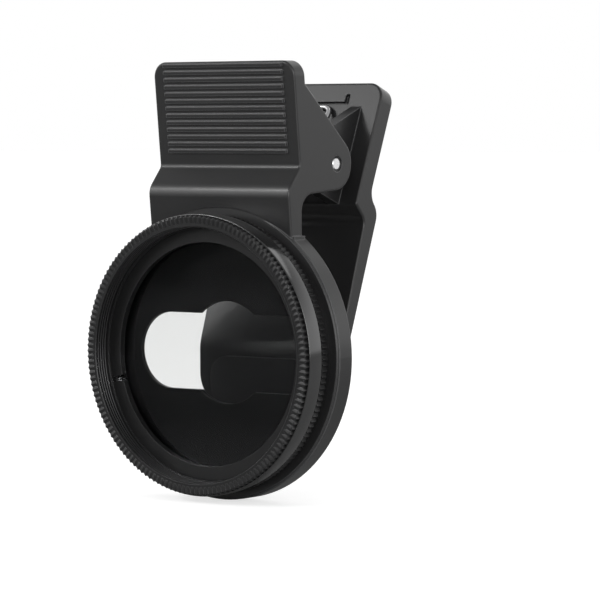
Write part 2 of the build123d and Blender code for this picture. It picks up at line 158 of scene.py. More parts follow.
class FilterSizes(bpy.types.PropertyGroup):
    """Sizes of what is added round the solid model"""

    thread_radius: FloatProperty(
        name="Thread radius",
        description="Radius of the accessory thread's wall in the rotating ring",
        default=18.3 * MM, min=5 * MM, unit="LENGTH", precision=4,
    )
    thread_pitch: FloatProperty(
        name="Thread pitch",
        description="Distance between two turns of the accessory thread",
        default=0.5 * MM, min=0.2 * MM, unit="LENGTH", precision=5,
    )
    thread_turns: IntProperty(
        name="Thread turns",
        description="Turns of the accessory thread",
        default=4, min=1, max=12,
    )
    thread_height: FloatProperty(
        name="Thread height",
        description="How far a turn of the thread stands in from the wall",
        default=0.09 * MM, min=0.02 * MM, unit="LENGTH", precision=5,
    )
    knurl_teeth: IntProperty(
        name="Knurl teeth",
        description="Teeth round the rotating ring",
        default=150, min=12, max=400,
    )
    knurl_run_out: FloatProperty(
        name="Knurl run-out",
        description="How far the teeth run in over the front edge of the rotating ring",
        default=1.25 * MM, min=0.2 * MM, unit="LENGTH", precision=5,
    )
    knurl_ridge: FloatProperty(
        name="Knurl ridge",
        description="Height of the teeth on the front edge of the rotating ring",
        default=0.11 * MM, min=0.02 * MM, unit="LENGTH", precision=5,
    )
    band_width: FloatProperty(
        name="Band width",
        description="Width of the plain band of the rotating ring",
        default=2.75 * MM, min=0.2 * MM, unit="LENGTH", precision=5,
    )
    band_place: FloatProperty(
        name="Band place",
        description="How far the plain band begins behind the front of the rotating ring",
        default=0.72 * MM, min=0, unit="LENGTH", precision=5,
    )
    band_rise: FloatProperty(
        name="Band rise",
        description="How far the plain band stands over the knurl's crests",
        default=0.14 * MM, min=0, unit="LENGTH", precision=5,
    )
    band_edge: FloatProperty(
        name="Band edge",
        description="Radius of the plain band's rounded edges",
        default=0.12 * MM, min=0.01 * MM, unit="LENGTH", precision=5,
    )
    wire_radius: FloatProperty(
        name="Wire radius",
        description="Radius of the spring's wire",
        default=0.4 * MM, min=0.1 * MM, unit="LENGTH", precision=5,
    )
    coil_radius: FloatProperty(
        name="Coil radius",
        description="Radius of the spring's coils, to the middle of the wire",
        default=2.3 * MM, min=0.5 * MM, unit="LENGTH", precision=5,
    )
    coil_pitch: FloatProperty(
        name="Coil pitch",
        description="Distance between two turns of a coil",
        default=0.86 * MM, min=0.2 * MM, unit="LENGTH", precision=5,
    )
    coil_full_turns: IntProperty(
        name="Full turns",
        description="Whole turns of each coil, to which the part between its legs is added",
        default=2, min=1, max=8,
    )
    bridge: FloatVectorProperty(
        name="Bridge", description="Corner of the spring's bridge, where it bears on the lever",
        default=(4.0 * MM, 18.172 * MM, 35.088 * MM), size=3, unit="LENGTH", precision=5,
    )
    bridge_corner: FloatProperty(
        name="Bridge corner", description="Bend radius of the bridge's corners",
        default=1.3 * MM, min=0.4 * MM, unit="LENGTH", precision=5,
    )
    leg_tip: FloatVectorProperty(
        name="Leg tip", description="End of the spring's free leg, on the back of the grip plate",
        default=(0.0, 0.7525 * MM, 36.504 * MM), size=3, unit="LENGTH", precision=5,
    )
    pad_edge: FloatProperty(
        name="Pad edge",
        description="Rounding of the soft pads' edges",
        default=0.18 * MM, min=0.02 * MM, unit="LENGTH", precision=5,
    )


class FilterFinishes(bpy.types.PropertyGroup):
    """Colours and roughness of the pieces"""

    plastic: FloatVectorProperty(
        name="Plastic", description="Colour of the two mouldings",
        default=(0.017, 0.017, 0.0174), size=3, min=0, max=1, subtype="COLOR",
    )
    plastic_roughness: FloatProperty(
        name="Plastic roughness", description="Roughness of the two mouldings",
        default=0.3, min=0, max=1, subtype="FACTOR",
    )
    anodised: FloatVectorProperty(
        name="Anodised", description="Colour of the black anodised rings",
        default=(0.02, 0.02, 0.0205), size=3, min=0, max=1, subtype="COLOR",
    )
    anodised_roughness: FloatProperty(
        name="Anodised roughness", description="Roughness of the rings",
        default=0.3, min=0, max=1, subtype="FACTOR",
    )
    steel: FloatVectorProperty(
        name="Steel", description="Colour of the pin, the spring and the snap ring",
        default=(0.88, 0.88, 0.89), size=3, min=0, max=1, subtype="COLOR",
    )
    glass: FloatVectorProperty(
        name="Glass", description="Tint of the two discs of glass",
        default=(0.955, 0.96, 0.957), size=3, min=0, max=1, subtype="COLOR",
    )
    foil: FloatVectorProperty(
        name="Foil", description="Tint of the polarizing foil",
        default=(0.8, 0.8, 0.8), size=3, min=0, max=1, subtype="COLOR",
    )
    pad: FloatVectorProperty(
        name="Pads", description="Colour of the soft pads",
        default=(0.018, 0.018, 0.019), size=3, min=0, max=1, subtype="COLOR",
    )


class StageSettings(bpy.types.PropertyGroup):
    """Light, floor and camera"""

    world_strength: FloatProperty(
        name="Room light", description="Strength of the even light on matt surfaces",
        default=0.66, min=0, soft_max=2,
    )
    front_glow: FloatProperty(
        name="Front glow",
        description="Brightness that gloss mirrors from the side of the room at the front left",
        default=0.22, min=0, soft_max=2,
    )
    back_glow: FloatProperty(
        name="Back glow",
        description="Brightness that gloss mirrors from the rest of the room's walls",
        default=1.33, min=0, soft_max=2,
    )
    top_glow: FloatProperty(
        name="Top glow", description="Brightness that gloss mirrors from the ceiling",
        default=0.3, min=0, soft_max=2,
    )
    key_power: FloatProperty(
        name="Key light", description="Power of the soft box at the upper left in front",
        default=0.76, min=0, unit="POWER",
    )
    rim_power: FloatProperty(
        name="Rim light", description="Power of the soft box above and behind",
        default=0.5, min=0, unit="POWER",
    )
    fill_power: FloatProperty(
        name="Fill light", description="Power of the soft box beside the camera",
        default=1.1, min=0, unit="POWER",
    )
    strip_power: FloatProperty(
        name="Strip light",
        description="Power of the narrow light that draws the bright lines on edges",
        default=0.7, min=0, unit="POWER",
    )
    floor_glow: FloatProperty(
        name="Floor glow", description="Share of white that the floor shows by itself",
        default=0.7, min=0, max=1, subtype="FACTOR",
    )
    floor_mirror: FloatProperty(
        name="Floor in gloss", description="Share of the floor in front that gloss mirrors",
        default=0.25, min=0, max=1, subtype="FACTOR",
    )
    lens: FloatProperty(
        name="Lens", description="Focal length of the camera in millimetres",
        default=206.6, min=20, max=1000,
    )


# Node helpers


def node(tree, kind, **values):
    """A new node of that kind, with its settings and its inputs' values by name."""
    made = tree.nodes.new(kind)
    for name, value in values.items():
        if hasattr(made, name):
            setattr(made, name, value)
        else:
            made.inputs[name.replace("_", " ")].default_value = value
    return made


def math(tree, operation, first, second=None):
    """Output of a math node on two sockets or numbers."""
    made = node(tree, "ShaderNodeMath", operation=operation)
    for index, value in enumerate((first, second)):
        if value is None:
            continue
        if isinstance(value, (int, float)):
            made.inputs[index].default_value = value
        else:
            tree.links.new(value, made.inputs[index])
    return made.outputs[0]


def mapped(tree, value, low, high, to_low, to_high):
    """Value carried from one range to another, clamped."""
    made = node(
        tree, "ShaderNodeMapRange", From_Min=low, From_Max=high, To_Min=to_low, To_Max=to_high
    )
    tree.links.new(value, made.inputs["Value"])
    return made.outputs[0]


def noise(tree, vector, scale, detail, roughness=0.5):
    """Noise of that many features a metre."""
    made = node(tree, "ShaderNodeTexNoise", Scale=scale, Detail=detail, Roughness=roughness)
    tree.links.new(vector, made.inputs["Vector"])
    return made.outputs["Fac"]


def bump(tree, height, distance, normal=None):
    """Bump of that height in metres, on top of another normal."""
    made = node(tree, "ShaderNodeBump", Strength=1.0, Distance=distance)
    tree.links.new(height, made.inputs["Height"])
    if normal is not None:
        tree.links.new(normal, made.inputs["Normal"])
    return made.outputs["Normal"]


def split_place(tree, place):
    """The three coordinates of a place."""
    split = node(tree, "ShaderNodeSeparateXYZ")
    tree.links.new(place, split.inputs[0])
    return split.outputs


def ray_kinds(tree):
    """Whether the camera sees a place, straight or through glass, and whether gloss mirrors it."""
    path = node(tree, "ShaderNodeLightPath")
    spread = math(tree, "MINIMUM", path.outputs["Diffuse Depth"], 1.0)
    bounced = math(tree, "MINIMUM", math(tree, "ADD", spread, path.outputs["Glossy Depth"]), 1.0)
    straight = math(tree, "SUBTRACT", 1.0, bounced)
    through = math(tree, "MULTIPLY", path.outputs["Is Transmission Ray"], straight)
    seen = math(tree, "MAXIMUM", path.outputs["Is Camera Ray"], through)
    unseen = math(tree, "SUBTRACT", math(tree, "SUBTRACT", 1.0, seen), spread)
    unseen = math(tree, "MAXIMUM", unseen, 0.0)
    return seen, math(tree, "MULTIPLY", path.outputs["Is Glossy Ray"], unseen)


def away_from_mirrored(tree, place, reach, low, high):
    """Value from low on the side that the glass mirrors to high away from it, and the height."""
    x, y, z = split_place(tree, place)
    along_x = math(tree, "MULTIPLY", x, AWAY[0])
    aside = math(tree, "ADD", along_x, math(tree, "MULTIPLY", y, AWAY[1]))
    return mapped(tree, aside, *reach, low, high), z


def new_finish(name, colour, **settings):
    """A material, its tree, its principled shader and its object coordinates."""
    material = bpy.data.materials.new(name)
    material.use_nodes = True
    tree = material.node_tree
    shader = tree.nodes["Principled BSDF"]
    shader.inputs["Base Color"].default_value = (*colour, 1)
    for label, value in settings.items():
        shader.inputs[label.replace("_", " ")].default_value = value
    coordinates = node(tree, "ShaderNodeTexCoord").outputs["Object"]
    return material, tree, shader, coordinates


def shaded_colour(tree, shader, colour, share, low, high):
    """Base colour times a factor that goes from low to high with share."""
    factor = mapped(tree, share, 0, 1, low, high)
    mix = node(tree, "ShaderNodeVectorMath", operation="SCALE")
    mix.inputs[0].default_value = colour
    tree.links.new(factor, mix.inputs["Scale"])
    tree.links.new(mix.outputs[0], shader.inputs["Base Color"])


def varied_roughness(tree, shader, pattern, reach, roughness, less, more):
    """Roughness from a little less to a little more than given, as a pattern crosses its reach."""
    value = mapped(tree, pattern, *reach, roughness - less, roughness + more)
    tree.links.new(value, shader.inputs["Roughness"])


def soft_edges(tree, radius):
    """Normal with the sharp edges rounded by that radius, and how near an edge a point is."""
    rounded = node(tree, "ShaderNodeBevel", samples=6, Radius=radius).outputs["Normal"]
    flat = node(tree, "ShaderNodeNewGeometry").outputs["Normal"]
    dot = node(tree, "ShaderNodeVectorMath", operation="DOT_PRODUCT")
    tree.links.new(rounded, dot.inputs[0])
    tree.links.new(flat, dot.inputs[1])
    return rounded, mapped(tree, dot.outputs["Value"], *EDGE_AGREEMENT, 0, 1)


# Finishes. The roughness of the mouldings and the rings varies above 0.28 or below 0.18 only,
# because dark patches show where it crosses about 0.27


def moulded_plastic(finishes):
    """Satin black moulded plastic: fine grain, slow waves in the gloss, and edges lightened in
    colour as a painted highlight.
    """
    material, tree, shader, place = new_finish("moulded_plastic", finishes.plastic, IOR=1.5)
    grain = noise(tree, place, scale=11000, detail=2)
    waves = noise(tree, place, scale=130, detail=1)
    rounded, edge = soft_edges(tree, MOULDED_EDGE)
    roughness = finishes.plastic_roughness
    varied_roughness(tree, shader, waves, (0.15, 0.85), roughness, less=0.02, more=0.06)
    # Painted highlight: near sharp edges the base colour is raised up to six times, standing in for
    # the light the edges catch
    shaded_colour(tree, shader, finishes.plastic, edge, low=1.0, high=6.0)
    surface = bump(tree, waves, distance=0.016 * MM, normal=rounded)
    surface = bump(tree, grain, distance=0.0008 * MM, normal=surface)
    tree.links.new(surface, shader.inputs["Normal"])
    return material


def anodised_metal(finishes, name="anodised_metal", roughness=None, ior=1.5):
    """Black anodised aluminium with fine turning lines round the optical axis, and edges lightened
    in colour as a painted highlight.
    """
    material, tree, shader, place = new_finish(name, finishes.anodised, Metallic=0.45, IOR=ior)
    x, y, z = split_place(tree, place)
    square = math(tree, "ADD", math(tree, "MULTIPLY", x, x), math(tree, "MULTIPLY", z, z))
    radius = math(tree, "SQRT", square)
    turned = node(tree, "ShaderNodeCombineXYZ")
    tree.links.new(radius, turned.inputs["X"])
    tree.links.new(y, turned.inputs["Y"])
    lines = noise(tree, turned.outputs[0], scale=9000, detail=2)
    cloud = noise(tree, place, scale=500, detail=2)
    rounded, edge = soft_edges(tree, TURNED_EDGE)
    roughness = roughness or finishes.anodised_roughness
    varied_roughness(tree, shader, cloud, (0.2, 0.8), roughness, less=0.02, more=0.05)
    # Painted highlight: near sharp edges the base colour is raised up to four times, standing in
    # for glints on the teeth and edges
    shaded_colour(tree, shader, finishes.anodised, edge, low=1.0, high=4.0)
    surface = bump(tree, lines, distance=0.003 * MM, normal=rounded)
    tree.links.new(surface, shader.inputs["Normal"])
    return material


def bright_steel(finishes, name, roughness, scratch_scale):
    """Bright drawn or cut steel with faint scratches."""
    material, tree, shader, place = new_finish(name, finishes.steel, Metallic=1.0)
    scratches = noise(tree, place, scratch_scale, detail=4, roughness=0.7)
    varied_roughness(tree, shader, scratches, (0.3, 0.7), roughness, less=0.06, more=0.08)
    shaded_colour(tree, shader, finishes.steel, scratches, low=0.85, high=1.1)
    tree.links.new(bump(tree, scratches, distance=0.002 * MM), shader.inputs["Normal"])
    return material


def coated_glass(name, tint):
    """Clear flat glass with an anti-reflection coating and a trace of dust in its tint."""
    material, tree, shader, place = new_finish(
        name,
        tint,
        IOR=1.5,
        Roughness=0.0,
        Specular_Tint=(0.07, 0.07, 0.08, 1),
        Transmission_Weight=1.0,
    )
    dust = noise(tree, place, scale=900, detail=3)
    shaded_colour(tree, shader, tint, dust, low=0.985, high=1.005)
    return material


def soft_rubber(finishes):
    """Matt soft pad with a fine pebbled skin."""
    material, tree, shader, place = new_finish(
        "soft_rubber", finishes.pad, Roughness=0.78, IOR=1.45, Sheen_Weight=0.15
    )
    pebbles = noise(tree, place, scale=4200, detail=2)
    cloud = noise(tree, place, scale=350, detail=2)
    shaded_colour(tree, shader, finishes.pad, cloud, low=0.8, high=1.25)
    tree.links.new(bump(tree, pebbles, distance=0.02 * MM), shader.inputs["Normal"])
    return material


# Piece helpers


def dress(names, material):
    """Gives solids of the frame a material in all their slots."""
    for name in names:
        mesh = frame["nodes"][name].data
        mesh.materials.clear()
        mesh.materials.append(material)


def placed(name, data):
    """A new object with that data, in the scene."""
    made = bpy.data.objects.new(name, data)
    bpy.context.scene.collection.objects.link(made)
    return made


def mesh_object(name, points=(), edges=(), faces=()):
    """A new object with a mesh of these points, edges and faces."""
    mesh = bpy.data.meshes.new(name)
    mesh.from_pydata(points, edges, faces)
    return placed(name, mesh)


def plain_mesh(source, name, material):
    """The evaluated result of an object as a piece of its own; the source is removed."""
    graph = bpy.context.evaluated_depsgraph_get()
    mesh = bpy.data.meshes.new_from_object(source.evaluated_get(graph))
    mesh.name = name
    bpy.data.objects.remove(source)
    mesh.materials.clear()
    mesh.materials.append(material)
    return placed(name, mesh)


def node_group(name, inputs):
    """An empty geometry tree with named inputs, (name, socket type, default), and its two ends."""
    tree = bpy.data.node_groups.new(name, "GeometryNodeTree")
    tree.interface.new_socket("Geometry", in_out="INPUT", socket_type="NodeSocketGeometry")
    tree.interface.new_socket("Geometry", in_out="OUTPUT", socket_type="NodeSocketGeometry")
    for label, kind, default in inputs:
        socket = tree.interface.new_socket(label, in_out="INPUT", socket_type=kind)
        if default is not None:
            socket.default_value = default
    return tree, tree.nodes.new("NodeGroupInput"), tree.nodes.new("NodeGroupOutput")


def finish_group(tree, geometry, group_in, group_out):
    """Ends a geometry tree in Realize Instances and Set Material."""
    realize = tree.nodes.new("GeometryNodeRealizeInstances")
    paint = tree.nodes.new("GeometryNodeSetMaterial")
    tree.links.new(geometry, realize.inputs[0])
    tree.links.new(realize.outputs[0], paint.inputs["Geometry"])
    tree.links.new(group_in.outputs["Material"], paint.inputs["Material"])
    tree.links.new(paint.outputs[0], group_out.inputs[0])


def sweep_group(tree, path, profile, group_in, group_out, caps):
    """Sweeps a profile along a path, with closed ends or not, and ends the tree."""
    sweep = node(tree, "GeometryNodeCurveToMesh", Fill_Caps=caps)
    tree.links.new(path, sweep.inputs["Curve"])
    tree.links.new(profile, sweep.inputs["Profile Curve"])
    finish_group(tree, sweep.outputs[0], group_in, group_out)


def run_group(carrier, tree, name, values):
    """Runs a geometry tree on a carrier object with these inputs, as a plain mesh piece."""
    modifier = carrier.modifiers.new(tree.name, "NODES")
    modifier.node_group = tree
    sockets = {
        item.name: item.identifier for item in tree.interface.items_tree if item.in_out == "INPUT"
    }
    for label, value in values.items():
        modifier[sockets[label]] = value
    bpy.context.view_layer.update()
    return plain_mesh(carrier, name, values["Material"])


def about_axis(place):
    """Carries what is made about Z to the optical axis, at that place along it."""
    return Matrix.Translation((0, place, 0)) @ Matrix.Rotation(-pi / 2, 4, "X")


def smooth(piece, angle):
    """Smooth shading, apart from edges sharper than the angle, and faces pointing outwards."""
    mesh = bmesh.new()
    mesh.from_mesh(piece.data)
    bmesh.ops.remove_doubles(mesh, verts=mesh.verts, dist=MERGE_DISTANCE)
    bmesh.ops.recalc_face_normals(mesh, faces=mesh.faces)
    for face in mesh.faces:
        face.smooth = True
    for edge in mesh.edges:
        edge.smooth = len(edge.link_faces) == 2 and edge.calc_face_angle() < radians(angle)
    mesh.to_mesh(piece.data)
    mesh.free()


def rounded_copy(source, name, width, material, smooth_angle):
    """A copy of a solid of the frame with its sharp edges rounded, as a piece of its own."""
    mesh = bmesh.new()
    mesh.from_mesh(frame["nodes"][source].data)
    bmesh.ops.remove_doubles(mesh, verts=mesh.verts, dist=MERGE_DISTANCE)
    bmesh.ops.dissolve_limit(mesh, angle_limit=radians(1), verts=mesh.verts, edges=mesh.edges)
    data = bpy.data.meshes.new(name)
    mesh.to_mesh(data)
    mesh.free()
    carrier = placed(name + "_carrier", data)
    bevel = carrier.modifiers.new("edge", "BEVEL")
    bevel.width = width
    bevel.segments = 3
    bevel.limit_method = "ANGLE"
    bevel.angle_limit = radians(50)
    piece = plain_mesh(carrier, name, material)
    smooth(piece, smooth_angle)
    return piece


def tooth(sizes, front, outer):
    """Points and faces of one tooth on a ring's front edge: a ridge between two foot lines."""
    half_step = pi / sizes.knurl_teeth
    ridge = [
        (outer - along * sizes.knurl_run_out, up * sizes.knurl_ridge) for along, up in TOOTH_PROFILE
    ]
    ridge.append((outer - TOOTH_END_INSET, -TOOTH_END_DROP))
    points = []
    for radius, height in ridge:
        foot = min(radius, outer - TOOTH_FOOT_INSET)
        for angle, reach, rise in (
            (-half_step, foot, -TOOTH_SINK),
            (0, radius, height),
            (half_step, foot, -TOOTH_SINK),
        ):
            points.append((reach * cos(angle), front - rise, reach * sin(angle)))
    rows = range(len(ridge))
    faces = [
        (first, first + 1, first + 4, first + 3)
        for row in rows[:-1]
        for first in (3 * row, 3 * row + 1)
    ]
    last = 3 * rows[-1]
    faces += [(0, 2, 1), (last, last + 1, last + 2)]
    faces.append([3 * row for row in reversed(rows)] + [3 * row + 2 for row in rows])
    return points, faces


def rounded_corner(before, corner, after, radius, steps):
    """Points of the arc that rounds a corner of a path."""
    to_before, to_after = (before - corner).normalized(), (after - corner).normalized()
    half = to_before.angle(to_after) / 2
    centre = corner + (to_before + to_after).normalized() * radius / sin(half)
    first = corner + to_before * radius / tan(half) - centre
    last = corner + to_after * radius / tan(half) - centre
    return [centre + first.slerp(last, i / steps) * radius for i in range(steps + 1)]


def spring_path(sizes):
    """Middle line of the double torsion spring, from one free leg over the bridge to the other."""
    bridge, tip = Vector(sizes.bridge), Vector(sizes.leg_tip)
    radius, pitch = sizes.coil_radius, sizes.coil_pitch
    rear, front = bridge - PIVOT, tip - PIVOT
    rear_reach, front_reach = hypot(rear.y, rear.z), hypot(front.y, front.z)
    start = atan2(rear.z, rear.y) - acos(radius / rear_reach)
    end = atan2(front.z, front.y) + acos(radius / front_reach)
    rise = pitch / (2 * pi * radius)
    inner = bridge.x + sqrt(rear_reach**2 - radius**2) * rise
    turned = 2 * pi * sizes.coil_full_turns + (start - end) % (2 * pi)
    steps = int(turned / radians(COIL_STEP))
    coil = []
    for i in range(steps + 1):
        angle = turned * i / steps
        bearing = start - angle
        coil.append(Vector((
            inner + pitch * angle / (2 * pi),
            PIVOT.y + radius * cos(bearing),
            PIVOT.z + radius * sin(bearing),
        )))
    middle = Vector((0, bridge.y, bridge.z))
    corner = rounded_corner(middle, bridge, coil[0], sizes.bridge_corner, CORNER_STEPS)
    leg_end = Vector((coil[-1].x + sqrt(front_reach**2 - radius**2) * rise, tip.y, tip.z))
    leg = [coil[-1].lerp(leg_end, i / LEG_STEPS) for i in range(1, LEG_STEPS + 1)]
    run = [corner[-1].lerp(coil[0], i / RUN_STEPS) for i in range(1, RUN_STEPS)]
    half = corner + run + coil + leg
    return [Vector((-p.x, p.y, p.z)) for p in reversed(half)] + [middle] + half


# Stage helpers


def place_camera(scene, lens):
    """Camera where the photograph was taken from."""
    azimuth, elevation, roll = (
        radians(angle) for angle in (CAMERA_AZIMUTH, CAMERA_ELEVATION, CAMERA_ROLL)
    )
    back = Vector((sin(azimuth) * cos(elevation), -cos(azimuth) * cos(elevation), sin(elevation)))
    turn = Matrix.Rotation(azimuth, 4, "Z") @ Matrix.Rotation(pi / 2 - elevation, 4, "X")
    turn = turn @ Matrix.Rotation(roll, 4, "Z")
    data = bpy.data.cameras.new("camera")
    data.lens = lens
    data.sensor_width = SENSOR_WIDTH
    data.clip_start, data.clip_end = 0.01, 20
    camera = placed("camera", data)
    camera.matrix_world = Matrix.Translation(CAMERA_TARGET + CAMERA_DISTANCE * back) @ turn
    scene.camera = camera


def light_room(scene, settings):
    """World: white to the camera, a graded room in gloss, and plain light for matt surfaces."""
    world = bpy.data.worlds.new("studio")
    scene.world = world
    world.use_nodes = True
    tree = world.node_tree
    background = tree.nodes["Background"]
    background.inputs["Color"].default_value = (1, 1, 1, 1)
    direction = node(tree, "ShaderNodeTexCoord").outputs["Generated"]
    behind, up = away_from_mirrored(
        tree, direction, DARK_SIDE_END, settings.front_glow, settings.back_glow
    )
    ceiling = mapped(tree, up, *CEILING_START, 0, 1)
    overhead = math(tree, "MULTIPLY", ceiling, settings.top_glow)
    wall = math(tree, "MULTIPLY", behind, math(tree, "SUBTRACT", 1.0, ceiling))
    room = math(tree, "ADD", wall, overhead)
    seen, glossy = ray_kinds(tree)
    matt = math(tree, "SUBTRACT", math(tree, "SUBTRACT", 1.0, seen), glossy)
    mirrored = math(tree, "MULTIPLY", glossy, room)
    light = math(tree, "ADD", mirrored, math(tree, "MULTIPLY", matt, settings.world_strength))
    tree.links.new(math(tree, "ADD", light, seen), background.inputs["Strength"])


def lay_floor(settings):
    """Pale floor under the part, brighter to the camera and dimmed in front for gloss."""
    near, far, low = -FLOOR_REACH, FLOOR_REACH, CAD_BOX[0].z
    corners = [(near, near, low), (far, near, low), (far, far, low), (near, far, low)]
    floor = mesh_object("floor", corners, faces=[(0, 1, 2, 3)])
    material, tree, shader, place = new_finish(
        "pale_floor",
        FLOOR_COLOUR,
        Roughness=0.9,
        Specular_IOR_Level=0.1,
        Emission_Color=(1, 1, 1, 1),
    )
    seen, mirrored = ray_kinds(tree)
    glow = math(tree, "MULTIPLY", seen, settings.floor_glow)
    tree.links.new(glow, shader.inputs["Emission Strength"])
    dimmed = away_from_mirrored(tree, place, DIM_FLOOR_END, 1 - settings.floor_mirror, 0.0)[0]
    share = math(tree, "MULTIPLY", mirrored, dimmed)
    shaded_colour(tree, shader, FLOOR_COLOUR, share, low=1.0, high=0.0)
    floor.data.materials.append(material)


def hang_lights(settings):
    """Soft boxes round the part, all turned towards it."""
    powers = {
        "key_light": settings.key_power,
        "strip_light": settings.strip_power,
        "rim_light": settings.rim_power,
        "fill_light": settings.fill_power,
    }
    for name, place, width, height in SOFT_BOXES:
        lamp = bpy.data.lights.new(name, "AREA")
        lamp.shape = "RECTANGLE"
        lamp.size, lamp.size_y = width, height
        lamp.energy = powers[name]
        light = placed(name, lamp)
        light.location = place
        light.rotation_mode = "QUATERNION"
        light.rotation_quaternion = (LIGHTS_AIM - Vector(place)).to_track_quat("-Z", "Y")
        # A light this narrow leaves specks on what lies behind glass
        light.visible_transmission = name != "strip_light"


# Operators, one for each piece or group of like pieces


class CLIPFILTER_OT_mouldings(bpy.types.Operator):
    """Finishes the two plastic mouldings of the clip"""

    bl_idname = "clipfilter.mouldings"
    bl_label = "Plastic mouldings"

    def execute(self, context):
        dress(("front_jaw", "rear_jaw"), moulded_plastic(context.scene.filter_finishes))
        return {"FINISHED"}


class CLIPFILTER_OT_rings(bpy.types.Operator):
    """Finishes the knurled rings and the retaining ring of the filter"""

    bl_idname = "clipfilter.rings"
    bl_label = "Filter rings"

    def execute(self, context):
        metal = anodised_metal(context.scene.filter_finishes)
        dress(("filter_mount_ring", "rotating_ring", "glass_retaining_ring"), metal)
        return {"FINISHED"}


class CLIPFILTER_OT_knurl_edge(bpy.types.Operator):
    """Runs the knurl's teeth in over the front edge of the rotating ring"""

    bl_idname = "clipfilter.knurl_edge"
    bl_label = "Knurled front edge"

    def execute(self, context):
        sizes = context.scene.filter_sizes
        low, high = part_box("rotating_ring")
        points, faces = tooth(sizes, front=low.y, outer=high.x)
        carrier = mesh_object("tooth", points, faces=faces)
        tree, group_in, group_out = node_group("knurl_teeth", [
            ("Teeth", "NodeSocketInt", 12),
            ("Material", "NodeSocketMaterial", None),
        ])
        spots = node(tree, "GeometryNodePoints")
        index = node(tree, "GeometryNodeInputIndex")
        step = math(tree, "DIVIDE", 2 * pi, group_in.outputs["Teeth"])
        turn = node(tree, "ShaderNodeCombineXYZ")
        copies = node(tree, "GeometryNodeInstanceOnPoints")
        link = tree.links.new
        link(group_in.outputs["Teeth"], spots.inputs["Count"])
        link(math(tree, "MULTIPLY", index.outputs[0], step), turn.inputs["Y"])
        link(spots.outputs[0], copies.inputs["Points"])
        link(group_in.outputs["Geometry"], copies.inputs["Instance"])
        link(turn.outputs[0], copies.inputs["Rotation"])
        finish_group(tree, copies.outputs[0], group_in, group_out)
        piece = run_group(carrier, tree, "knurl_edge", {
            "Teeth": sizes.knurl_teeth,
            "Material": bpy.data.materials["anodised_metal"],
        })
        smooth(piece, angle=12)
        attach(piece, CELL)
        return {"FINISHED"}


class CLIPFILTER_OT_plain_band(bpy.types.Operator):
    """Turns the plain band of the rotating ring, with its small rounded edges"""

    bl_idname = "clipfilter.plain_band"
    bl_label = "Plain band"

    def execute(self, context):
        sizes = context.scene.filter_sizes
        tree, group_in, group_out = node_group("turned_band", [
            ("Radius", "NodeSocketFloat", 0.02),
            ("Width", "NodeSocketFloat", 0.002),
            ("Depth", "NodeSocketFloat", 0.0003),
            ("Edge", "NodeSocketFloat", 0.0001),
            ("Material", "NodeSocketMaterial", None),
        ])
        circle = node(tree, "GeometryNodeCurvePrimitiveCircle", Resolution=240)
        profile = node(tree, "GeometryNodeCurvePrimitiveQuadrilateral")
        rounded = node(tree, "GeometryNodeFilletCurve", mode="POLY", Count=4)
        link = tree.links.new
        link(group_in.outputs["Radius"], circle.inputs["Radius"])
        link(group_in.outputs["Depth"], profile.inputs["Width"])
        link(group_in.outputs["Width"], profile.inputs["Height"])
        link(profile.outputs[0], rounded.inputs["Curve"])
        link(group_in.outputs["Edge"], rounded.inputs["Radius"])
        sweep_group(tree, circle.outputs[0], rounded.outputs[0], group_in, group_out, caps=False)
        low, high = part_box("rotating_ring")
        metal = anodised_metal(
            context.scene.filter_finishes, "polished_band", BAND_ROUGHNESS, BAND_IOR
        )
        piece = run_group(mesh_object("band_carrier"), tree, "plain_band", {
            "Radius": high.x + sizes.band_rise - BAND_DEPTH / 2,
            "Width": sizes.band_width,
            "Depth": BAND_DEPTH,
            "Edge": sizes.band_edge,
            "Material": metal,
        })
        piece.data.transform(about_axis(low.y + sizes.band_place + sizes.band_width / 2))
        smooth(piece, angle=40)
        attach(piece, CELL)
        return {"FINISHED"}


class CLIPFILTER_OT_thread(bpy.types.Operator):
    """Winds the accessory thread's turns inside the front of the rotating ring"""

    bl_idname = "clipfilter.thread"
    bl_label = "Accessory thread"

    def execute(self, context):
        sizes = context.scene.filter_sizes
        tree, group_in, group_out = node_group("thread_turns", [
            ("Radius", "NodeSocketFloat", 0.01),
            ("Pitch", "NodeSocketFloat", 0.001),
            ("Turns", "NodeSocketFloat", 3.0),
            ("Ridge", "NodeSocketFloat", 0.0001),
            ("Material", "NodeSocketMaterial", None),
        ])
        spiral = node(tree, "GeometryNodeCurveSpiral", Resolution=180)
        profile = node(tree, "GeometryNodeCurvePrimitiveCircle", Resolution=4)
        length = math(tree, "MULTIPLY", group_in.outputs["Turns"], group_in.outputs["Pitch"])
        link = tree.links.new
        link(group_in.outputs["Radius"], spiral.inputs["Start Radius"])
        link(group_in.outputs["Radius"], spiral.inputs["End Radius"])
        link(group_in.outputs["Turns"], spiral.inputs["Rotations"])
        link(length, spiral.inputs["Height"])
        link(group_in.outputs["Ridge"], profile.inputs["Radius"])
        sweep_group(tree, spiral.outputs[0], profile.outputs[0], group_in, group_out, caps=True)
        piece = run_group(mesh_object("thread_carrier"), tree, "accessory_thread", {
            "Radius": sizes.thread_radius,
            "Pitch": sizes.thread_pitch,
            "Turns": float(sizes.thread_turns),
            "Ridge": sizes.thread_height,
            "Material": bpy.data.materials["anodised_metal"],
        })
        piece.data.transform(about_axis(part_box("rotating_ring")[0].y + THREAD_START))
        smooth(piece, angle=25)
        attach(piece, CELL)
        return {"FINISHED"}


